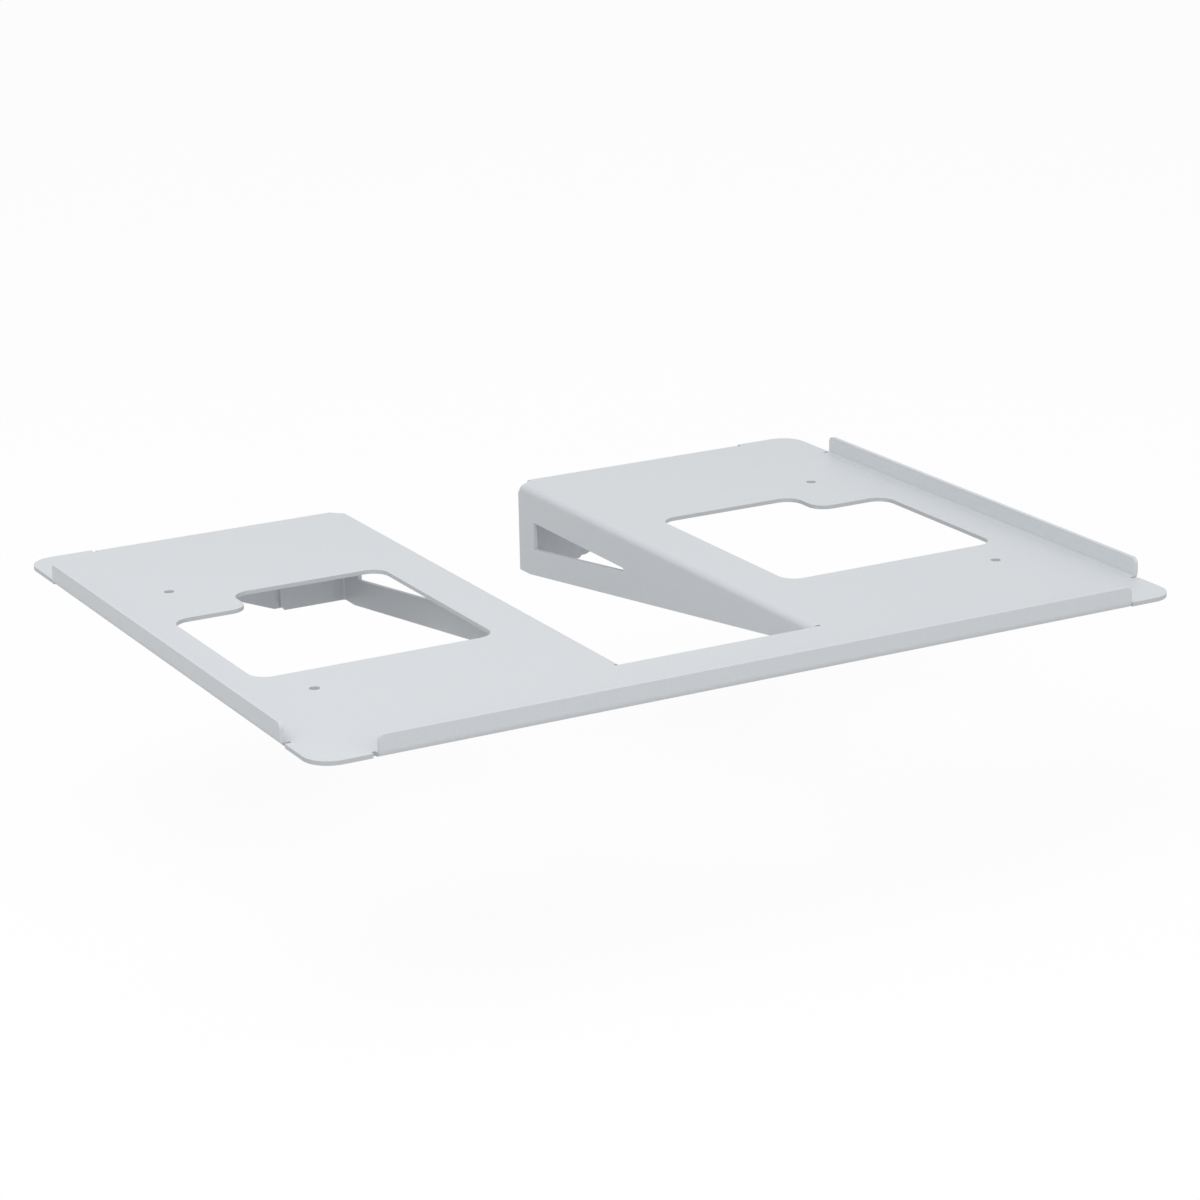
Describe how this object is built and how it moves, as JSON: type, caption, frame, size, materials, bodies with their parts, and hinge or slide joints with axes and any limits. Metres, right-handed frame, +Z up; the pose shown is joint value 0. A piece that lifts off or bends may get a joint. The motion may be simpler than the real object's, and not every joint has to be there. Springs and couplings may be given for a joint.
{
  "type": "wall bracket",
  "caption": "Folded sheet-steel wall shelf bracket: a U-shaped plate with turned-up lips, stepped openings, and wall flanges and slotted gussets turned down.",
  "frame": {"origin": "middle of the pattern of wall screw holes, on the wall face of the turned-down flanges", "axes": "+Y into the wall, +Z up, +X along the wall; the bracket is alike on both sides of X = 0 and reaches forward to -Y"},
  "size_m": [0.45, 0.35, 0.057],
  "materials": {
    "powder_coat": "pale grey powder coat, semi-matt with a fine texture"
  },
  "bodies": {
    "root": {"folded_bracket": "powder_coat"}
  },
  "joints": []
}
